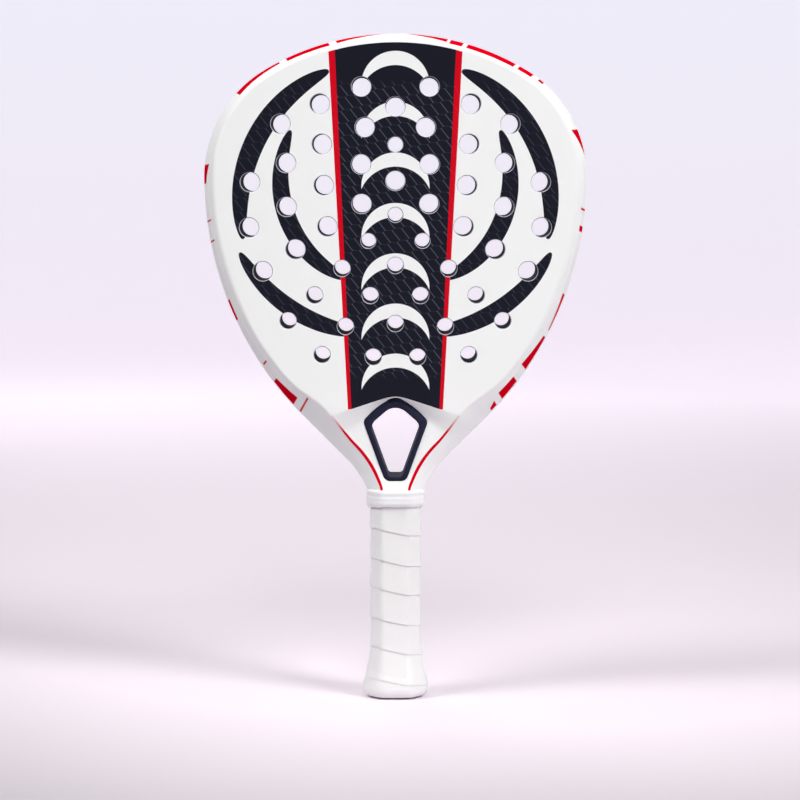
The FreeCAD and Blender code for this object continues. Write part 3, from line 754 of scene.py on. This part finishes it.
def throat_ring(side):
    """Half of the liner: a slanted lip over the moulding's edge, a flat land and an upright wall."""
    bm = bmesh.new()
    rows = [(0.0, 0.0), (0.0, THROAT - 0.6 * MM), (0.05, THROAT + 0.1 * MM)]
    rows += [bend((0.40, PROUD - 0.35 * MM), (0.52, PROUD), (0.64, PROUD), t) for t in QUARTERS]
    rows += [bend((0.80, PROUD), (1.0, PROUD), (1.0, PROUD - 1.2 * MM), t) for t in QUARTERS]
    rows += [(1.0, 0.0), (0.0, 0.0)]
    line = None
    for share, out in rows:
        right = kite(share)
        points = [Vector((p.x, side * out, p.y)) for p in right]
        points += [Vector((-p.x, p.y, p.z)) for p in points[-2:0:-1]]
        line = pulled(bm, line, points, closed=True) if line else drawn(bm, points, closed=True)
    return bm


for name, side, node in (("front_ring", -1.0, "front_throat_ring"),
                         ("rear_ring", 1.0, "rear_throat_ring")):
    ring = link(name, throat_ring(side), rubber.material)
    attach(ring, "root")
    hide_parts(node)

# ------------------------------------------------------------------ overgrip
# A thin white polyurethane tape wound from the butt up to the collar over the cushion grip. Each
# turn laps over the upper edge of the one below, so its own lower edge stands as a small step.

pallet_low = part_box("front_pallet")[0]
grip_low, grip_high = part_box("overgrip")
HALF_X, HALF_Y, FACET, CORNER = -pallet_low.x, -pallet_low.y, 6.3 * MM, 3.6 * MM


def grip_stations():
    """Points and outward directions round the eight-sided grip, shrunk by the corner radius."""
    corners = [(HALF_X - FACET, -HALF_Y), (HALF_X, FACET - HALF_Y), (HALF_X, HALF_Y - FACET),
               (HALF_X - FACET, HALF_Y), (FACET - HALF_X, HALF_Y), (-HALF_X, HALF_Y - FACET),
               (-HALF_X, FACET - HALF_Y), (FACET - HALF_X, -HALF_Y)]
    eighth = math.radians(45)
    shrink = CORNER / math.cos(eighth / 2)
    fans = []
    for n, (cx, cy) in enumerate(corners):
        first = eighth * (n - 2)
        middle = first + eighth / 2
        fans.append([(cx - shrink * math.cos(middle), cy - shrink * math.sin(middle),
                      first + eighth * k / 4) for k in range(5)])
    ring = []
    for n, fan in enumerate(fans):
        px, py, turn = fan[-1]
        qx, qy, _ = fans[(n + 1) % 8][0]
        ring += fan + [(px + (qx - px) * k / 5, py + (qy - py) * k / 5, turn) for k in range(1, 5)]
    return ring


grip_ring = grip_stations()
AROUND = len(grip_ring)
# in millimetres: how far the butt flares out, by the height over its base
FLARE = [(0, 0.6), (1.2, 1.7), (2.5, 3.4), (4.3, 4.75), (6.5, 5.2), (9, 5.0), (12, 4.3), (18, 2.3),
         (28, 0.9), (40, 0)]
PITCH, TAPE, FIRST_SEAM = 20.6 * MM, 27 * MM, 10.8 * MM
# in millimetres: how far out from the pallets the tape lies, and how much more its lower edge does
TAPE_OUT, LAP = 2.5, 0.75


def grip_point(index, z, out):
    px, py, turn = grip_ring[index % AROUND]
    reach = CORNER + out
    return Vector((px + reach * math.cos(turn), py + reach * math.sin(turn), z))


girth = [0.0]
for k in range(AROUND):
    chord = grip_point(-k - 1, 0, TAPE_OUT * MM) - grip_point(-k, 0, TAPE_OUT * MM)
    girth.append(girth[-1] + chord.length)


# share of the pitch that the tape has climbed by a share of the girth, from the front's right corner:
# it climbs over the two wide flats and the sides, and lies level across the slanting facets
LAY = [(-0.09, -0.05), (0.0, 0.0), (0.09, 0.1), (0.175, 0.2), (0.268, 0.22), (0.34, 0.3), (0.408, 0.39),
       (0.5, 0.494), (0.59, 0.59), (0.675, 0.694), (0.768, 0.8), (0.84, 0.88), (0.91, 0.95), (1.0, 1.0),
       (1.09, 1.1)]


def wound(k):
    """Turns of tape laid by a station."""
    return k // AROUND + eased(LAY, girth[k % AROUND] / girth[-1])


def wound_tape():
    """The tape's section, drawn at each station of the winding and pulled on to the next."""
    bm = bmesh.new()
    line = None
    top = grip_high.z - 1 * MM
    for k in range(-AROUND, 8 * AROUND):
        lower = FIRST_SEAM + PITCH * (wound(k) - 1) + 0.3 * MM * math.sin(3.4 * wound(k))
        bottom, edge = max(lower, grip_low.z), min(lower + TAPE, top)
        if edge - bottom < 0.5 * MM:
            continue
        points = []
        for n in range(15):
            z = edge + (bottom - edge) * (n / 14) ** 0.8
            share = (z - lower) / TAPE
            lift = LAP * (1 - min(max(share / 0.72, 0.0), 1.0)) ** 1.4 - 0.3
            points.append((z, eased(FLARE, z / MM) + TAPE_OUT + lift))
        z, out = points.pop()
        points += [(z, out - 0.12), (z - 0.12 * MM, out - 0.45), (z + 0.1 * MM, out - 0.85)]
        points.append((edge, eased(FLARE, edge / MM) + 1.4))
        ring = [grip_point(-k, max(z, grip_low.z), out * MM) for z, out in points]
        line = pulled(bm, line, ring, closed=True) if line else drawn(bm, ring, closed=True)
    bmesh.ops.holes_fill(bm, edges=[edge for edge in bm.edges if edge.is_boundary], sides=0)
    return bm


tape = Finish("grip_tape", {"Specular IOR Level": 0.2})
pores = tape.noise(1500.0, 3.0)
tape.wear(base_color=tape.mix(tape.noise(70.0) * 0.3, linear(235, 235, 235), linear(226, 226, 227)),
          roughness=pores * 0.15 + 0.52, normal=tape.bump(pores, 0.00008, 0.5))
overgrip = link("wound_overgrip", wound_tape(), tape.material, sharp=50.0)
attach(overgrip, "root")
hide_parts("overgrip")

# ------------------------------------------------------------------ collar
# A white rubber collar with two soft ribs, stretched over the upper end of the grip. Its lower
# edge is cut a little higher at the front and the rear than at the sides.

# its section: shares of its height, and distances out from the pallets in millimetres
RIBS = [(0.0, 2.6), (-0.02, 3.4), (0.03, 4.2), (0.1, 4.85), (0.18, 5.2), (0.26, 5.3), (0.32, 5.27),
        (0.36, 5.2), (0.4, 5.25), (0.48, 5.4), (0.56, 5.38), (0.62, 5.2), (0.66, 5.12), (0.7, 5.2),
        (0.77, 5.45), (0.85, 5.45), (0.9, 5.25), (0.95, 4.8), (0.985, 4.0), (1.0, 3.0), (0.5, 2.2)]
CUT = 1.7 * MM
span = collar_high.z - collar_low.z
bm = bmesh.new()
line = None
for share, out in RIBS + RIBS[:1]:
    points = []
    for k in range(AROUND):
        cut = CUT * abs(math.sin(grip_ring[k][2])) * (1 - share) ** 2
        points.append(grip_point(k, collar_low.z + share * span + cut, out * MM))
    line = pulled(bm, line, points, closed=True) if line else drawn(bm, points, closed=True)
white_rubber = Finish("white_rubber", {})
dust = white_rubber.noise(600.0)
chalk = white_rubber.mix(dust * 0.3, linear(243, 243, 244), linear(233, 233, 235))
white_rubber.wear(base_color=chalk, roughness=dust * 0.15 + 0.38)
collar = link("ribbed_collar", bm, white_rubber.material, sharp=60.0)
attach(collar, "root")
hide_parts("grip_collar")

# ------------------------------------------------------------------ inner pieces
# What the moulding, the tape and the collar hide: the foams of the frame and the handle, the grey
# cushion sleeve, the end tape, the moulded butt cap with its two steel pins, and the cord's eyelet.


def grained(name, scale, light, dark, depth, roughness, metallic=0.0):
    """A plain finish of two near colours in a grain of its own size and depth."""
    made = Finish(name, {"Metallic": metallic})
    grain = made.noise(scale, 4.0, 0.6)
    return made.wear(base_color=made.mix(grain, linear(*light), linear(*dark)),
                     roughness=grain * 0.25 + roughness, normal=made.bump(grain, depth, 0.5))


def sleeve(rows):
    """A closed tube round the grip through pairs of height and distance from the pallets."""
    bm = bmesh.new()
    line = None
    for z, out in rows:
        points = [grip_point(k, z, out) for k in range(AROUND)]
        line = pulled(bm, line, points, closed=True) if line else drawn(bm, points, closed=True)
    return bm


FILL_INSET, FILL_SHARE, FILL_DEPTH = 2.2 * MM, 0.86, 13 * MM


def frame_fill():
    """The foam's section, a little inside the moulding's, drawn round the outline."""
    bm = bmesh.new()
    line = None
    for index in range(len(stations) - 4):
        x, z, nx, nz = stations[index]
        outer = [(inset + FILL_INSET, out * FILL_SHARE) for inset, out in sections[index][::3]]
        deepest = max(outer[-1][0] + 1 * MM, FILL_DEPTH)
        half = outer + [(deepest, outer[-1][1]), (deepest, 0.0)]
        ring = half + [(inset, -out) for inset, out in half[-2:0:-1]]
        points = [Vector((max(x + nx * inset, 0.0), -out, z + nz * inset)) for inset, out in ring]
        line = pulled(bm, line, points, closed=True) if line else drawn(bm, points, closed=True)
    bmesh.ops.mirror(bm, geom=bm.verts[:] + bm.edges[:] + bm.faces[:], axis="X", merge_dist=0.00002)
    bmesh.ops.holes_fill(bm, edges=[edge for edge in bm.edges if edge.is_boundary], sides=0)
    return bm


foam_beads = grained("foam_beads", 900.0, (226, 216, 184), (206, 194, 158), 0.0002, 0.7)
cushion = grained("grip_cushion", 1100.0, (70, 70, 76), (44, 44, 50), 0.00012, 0.6)
end_tape = grained("end_tape", 1300.0, (234, 234, 238), (220, 220, 226), 0.00004, 0.5)
cap_plastic = grained("cap_plastic", 1600.0, (40, 44, 66), (28, 31, 50), 0.00005, 0.42)
steel = grained("drawn_steel", 500.0, (196, 196, 200), (160, 160, 166), 0.00002, 0.3, 1.0)
eyelet = grained("rolled_aluminium", 700.0, (214, 214, 218), (186, 186, 192), 0.00002, 0.28, 1.0)
CUSHION_OUT, CUSHION_THICK = 1.3, 1.1 * MM
heights = [grip_low.z] + [z * MM for z, _ in FLARE[1:]] + [grip_high.z - 3 * MM]
outside = [(z, (eased(FLARE, z / MM) + CUSHION_OUT) * MM) for z in heights]
inside = [(z, out - CUSHION_THICK) for z, out in outside[::-1]]
for name, bm, material, node, slot in (
        ("cushion_sleeve", sleeve(outside + inside + outside[:1]), cushion, "base_grip", "grip_cushion"),
        ("frame_fill", frame_fill(), foam_beads, "frame_foam", "frame_foam")):
    piece = link(name, bm, material)
    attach(piece, "root")
    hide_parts(node)
for node, material in (("handle_core", foam_beads), ("front_pallet", foam_beads),
                       ("rear_pallet", foam_beads), ("finishing_tape", end_tape),
                       ("butt_cap", cap_plastic), ("cap_pins", steel), ("cord_eyelet", eyelet)):
    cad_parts[node].data.materials.clear()
    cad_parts[node].data.materials.append(material)

# ------------------------------------------------------------------ finish
bpy.context.view_layer.update()
